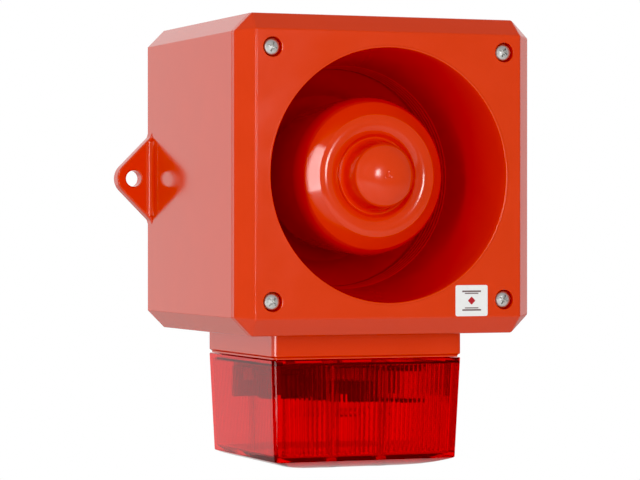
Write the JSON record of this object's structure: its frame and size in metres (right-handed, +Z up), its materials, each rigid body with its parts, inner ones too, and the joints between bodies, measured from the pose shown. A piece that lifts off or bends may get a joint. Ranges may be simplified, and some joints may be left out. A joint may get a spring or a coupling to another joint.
{
  "type": "horn strobe",
  "caption": "Wall-mounted fire alarm horn strobe: square red housing with a re-entrant horn in its front cover, fixing lugs, and a red flashing beacon hung below.",
  "frame": {"origin": "centre of the housing's rear face, on the wall", "axes": "+Y into the wall, the horn faces -Y, +Z up, +X to the right seen from the front"},
  "size_m": [0.206, 0.152, 0.2393],
  "materials": {
    "red_plastic": "glossy moulded",
    "red_lens": "glossy translucent, fluted inside",
    "stainless_steel": "satin",
    "brass": "turned",
    "zinc_plate": "zinc plated",
    "ferrite": "ground matt",
    "copper_winding": "lacquered wire",
    "diaphragm_film": "satin film",
    "black_rubber": "matt",
    "label_film": "satin",
    "board_green": "satin solder mask",
    "black_plastic": "matt moulded",
    "blue_plastic": "satin",
    "green_plastic": "satin",
    "white_plastic": "satin",
    "switch_red": "satin",
    "flash_glass": "clear",
    "wire_red": "satin insulation",
    "wire_black": "satin insulation"
  },
  "bodies": {
    "housing": {"rear_housing": "red_plastic", "beacon_collar": "red_plastic", "collar_screw_left": "stainless_steel", "collar_screw_right": "stainless_steel", "board_screw_upper_left": "stainless_steel", "board_screw_lower_right": "stainless_steel", "screw_insert_upper_left": "brass", "screw_insert_upper_right": "brass", "screw_insert_lower_left": "brass", "screw_insert_lower_right": "brass", "transformer": "zinc_plate", "cover_gasket": "black_rubber", "collar_gasket": "black_rubber", "lens_gasket": "black_rubber", "entry_seal_upper": "black_rubber", "entry_seal_lower": "black_rubber", "main_board": "board_green", "strobe_board": "board_green", "entry_plug_upper": "black_plastic", "entry_plug_lower": "black_plastic", "controller_chip": "black_plastic", "flash_capacitor": "black_plastic", "trigger_transformer": "black_plastic", "reservoir_capacitor_1": "blue_plastic", "reservoir_capacitor_2": "blue_plastic", "volume_trimmer_body": "blue_plastic", "terminal_block_supply": "green_plastic", "terminal_block_output": "green_plastic", "driver_header": "white_plastic", "tone_switch_body": "switch_red", "xenon_tube": "flash_glass"},
    "cover": {"front_cover": "red_plastic", "cover_screw_upper_left": "stainless_steel", "cover_screw_upper_right": "stainless_steel", "cover_screw_lower_left": "stainless_steel", "cover_screw_lower_right": "stainless_steel", "front_label": "label_film", "horn_bell": "red_plastic", "horn_throat": "red_plastic", "horn_cap": "red_plastic", "top_plate": "zinc_plate", "ring_magnet": "ferrite", "back_plate": "zinc_plate", "driver_can": "black_plastic", "driver_lead_red": "wire_red", "driver_lead_black": "wire_black", "driver_plug": "white_plastic"},
    "diaphragm_group": {"diaphragm": "diaphragm_film", "voice_coil": "copper_winding"},
    "lens": {"beacon_lens": "red_lens", "lens_screw_upper_left": "stainless_steel", "lens_screw_upper_right": "stainless_steel", "lens_screw_lower_left": "stainless_steel", "lens_screw_lower_right": "stainless_steel"},
    "tone_lever_1": {"tone_lever_1": "white_plastic"},
    "tone_lever_2": {"tone_lever_2": "white_plastic"},
    "tone_lever_3": {"tone_lever_3": "white_plastic"},
    "tone_lever_4": {"tone_lever_4": "white_plastic"},
    "volume_rotor": {"volume_trimmer_rotor": "white_plastic"}
  },
  "joints": [
    {"name": "cover_removal", "type": "slide", "parent": "housing", "child": "cover", "axis": [0, -1, 0], "range_m": [0, 0.14]},
    {"name": "diaphragm_travel", "type": "slide", "parent": "cover", "child": "diaphragm_group", "axis": [0, -1, 0], "range_m": [-0.0005, 0.0005], "stiffness_N_per_m": 2000},
    {"name": "lens_removal", "type": "slide", "parent": "housing", "child": "lens", "axis": [0, 0, -1], "range_m": [0, 0.05]},
    {"name": "tone_lever_1_slide", "type": "slide", "parent": "housing", "child": "tone_lever_1", "axis": [0, 0, 1], "range_m": [0, 0.0016]},
    {"name": "tone_lever_2_slide", "type": "slide", "parent": "housing", "child": "tone_lever_2", "axis": [0, 0, 1], "range_m": [0, 0.0016]},
    {"name": "tone_lever_3_slide", "type": "slide", "parent": "housing", "child": "tone_lever_3", "axis": [0, 0, 1], "range_m": [0, 0.0016]},
    {"name": "tone_lever_4_slide", "type": "slide", "parent": "housing", "child": "tone_lever_4", "axis": [0, 0, 1], "range_m": [0, 0.0016]},
    {"name": "volume_adjust", "type": "hinge", "parent": "housing", "child": "volume_rotor", "pos_m": [0.044, -0.0224, -0.057], "axis": [0, -1, 0], "range_deg": [-135, 135]}
  ]
}
